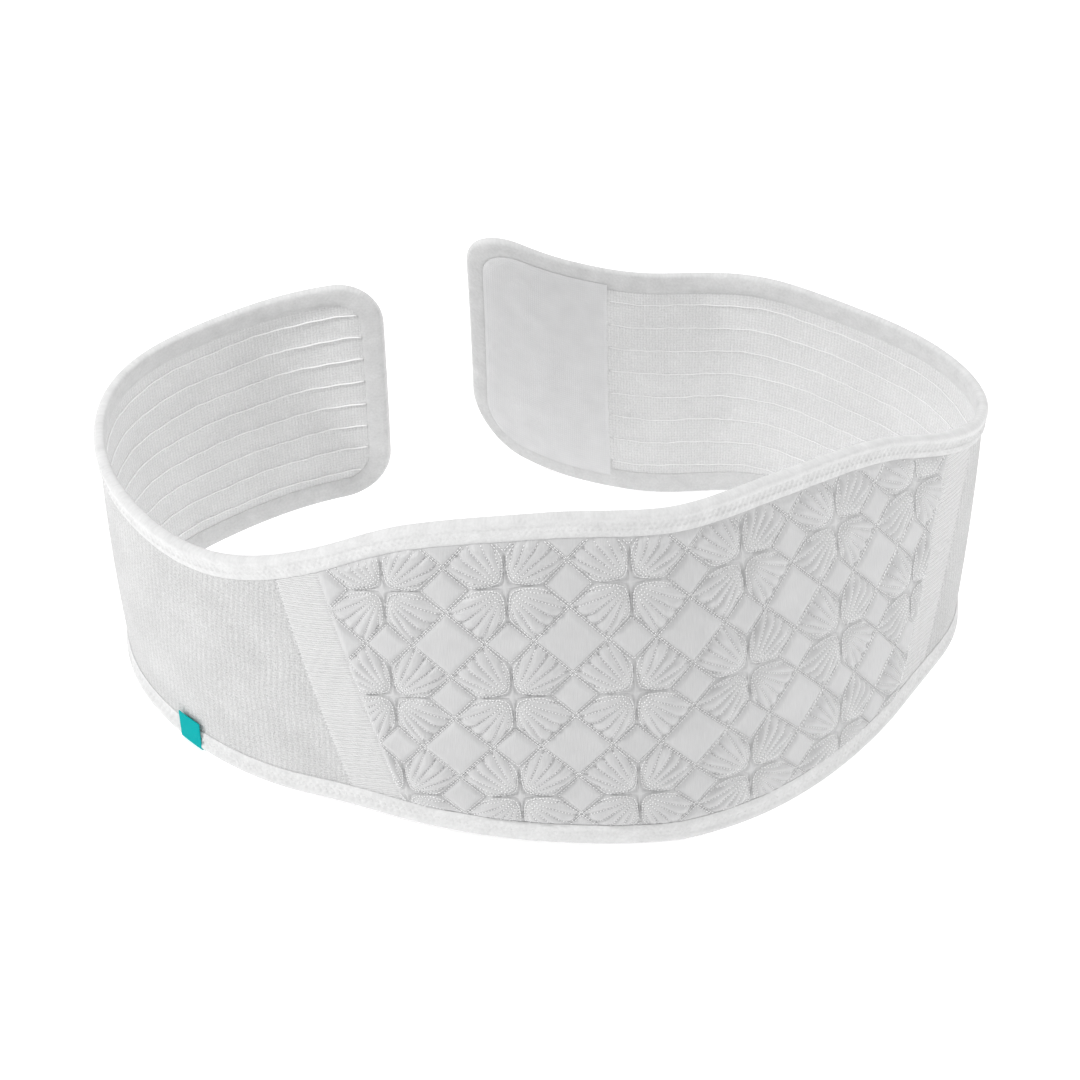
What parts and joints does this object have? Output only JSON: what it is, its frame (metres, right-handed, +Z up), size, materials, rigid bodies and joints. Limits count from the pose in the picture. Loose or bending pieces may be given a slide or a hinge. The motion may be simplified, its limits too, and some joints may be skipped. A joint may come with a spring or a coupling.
{
  "type": "maternity support belt",
  "caption": "Wide stretch belt that supports a pregnant belly: quilted front panel, knitted wings, bound edge and press-on fastening pads at its ends.",
  "frame": {"origin": "on the floor, under the middle of the standing belt's box", "axes": "+Z up, the quilted front towards -Y, +X towards the wearer's left, which is the right of a front view"},
  "size_m": [0.4654, 0.2938, 0.2005],
  "materials": {
    "satin": "smooth white satin over wadding, stitched in a flower pattern",
    "elastic": "white elastic with fine ribs across it",
    "knit": "white stretch knit with woven lines along it",
    "binding": "soft white binding tape, stitched down in a zigzag",
    "hook": "pale grey tape of fine hooks",
    "loop": "white brushed loops",
    "label": "bare teal woven label"
  },
  "bodies": {
    "root": {"quilted_panel": "satin", "insert_left": "elastic", "insert_right": "elastic", "wing_left": "knit", "wing_right": "knit", "edge_binding": "binding", "hook_pad": "hook", "loop_pad": "loop", "label_tag": "label"}
  },
  "joints": []
}
